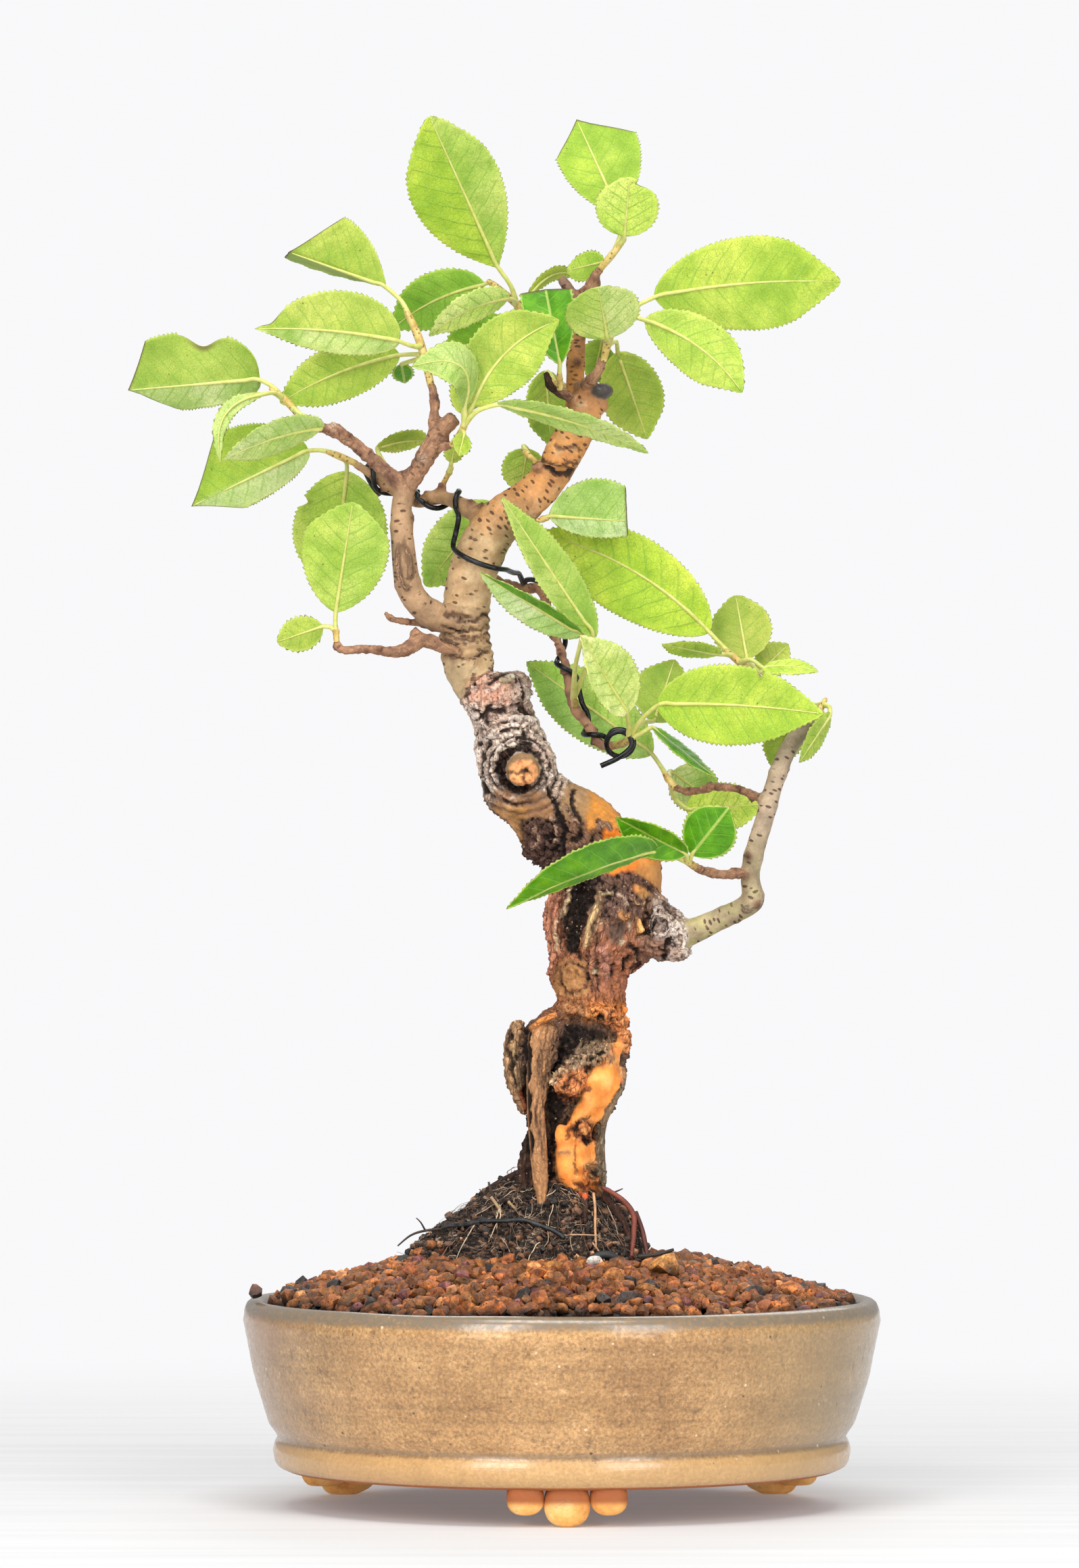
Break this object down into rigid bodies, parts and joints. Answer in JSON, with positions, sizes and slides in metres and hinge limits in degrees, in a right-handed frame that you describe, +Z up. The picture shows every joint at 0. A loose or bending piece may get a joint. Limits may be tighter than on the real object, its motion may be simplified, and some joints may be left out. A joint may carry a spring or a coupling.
{
  "type": "potted bonsai tree",
  "caption": "Small leaning deciduous bonsai with a hollowed, burled trunk, wired twigs and toothed oval leaves, in a round glazed stoneware pot on three lobed feet.",
  "frame": {"origin": "middle of the object's footprint at the underside of the pot's feet", "axes": "+Z up the tree, -Y towards the viewer of the tree's front, +X to that viewer's right"},
  "size_m": [0.1996, 0.1702, 0.37],
  "materials": {
    "pot": "gloss",
    "drain_mesh": "matte",
    "soil": "matte",
    "root_mound": "matte",
    "bark": "matte",
    "training_wire": "satin",
    "tie_wire": "satin",
    "leaf": "satin"
  },
  "bodies": {
    "root": {"pot": "pot", "drain_mesh": "drain_mesh", "soil": "soil", "root_mound": "root_mound", "trunk": "bark", "training_wire": "training_wire", "tie_wire": "tie_wire", "spray_back_left": "leaf", "spray_crown": "leaf", "leaf_by_leader": "leaf", "spray_right": "leaf", "spray_upper_left": "leaf", "spray_front_left": "leaf", "spray_outer_left": "leaf", "spray_wired": "leaf", "spray_low_left": "leaf", "leaf_small_spur": "leaf", "leaf_behind_limb": "leaf", "leaf_behind_leader": "leaf", "leaf_left_knob": "leaf", "leaf_behind_stem": "leaf", "leaf_right_knob": "leaf", "spray_middle_node": "leaf", "spray_middle_end": "leaf", "spray_right_twig": "leaf", "spray_front_spur": "leaf", "spray_right_top": "leaf", "spray_right_tip": "leaf"}
  },
  "joints": []
}
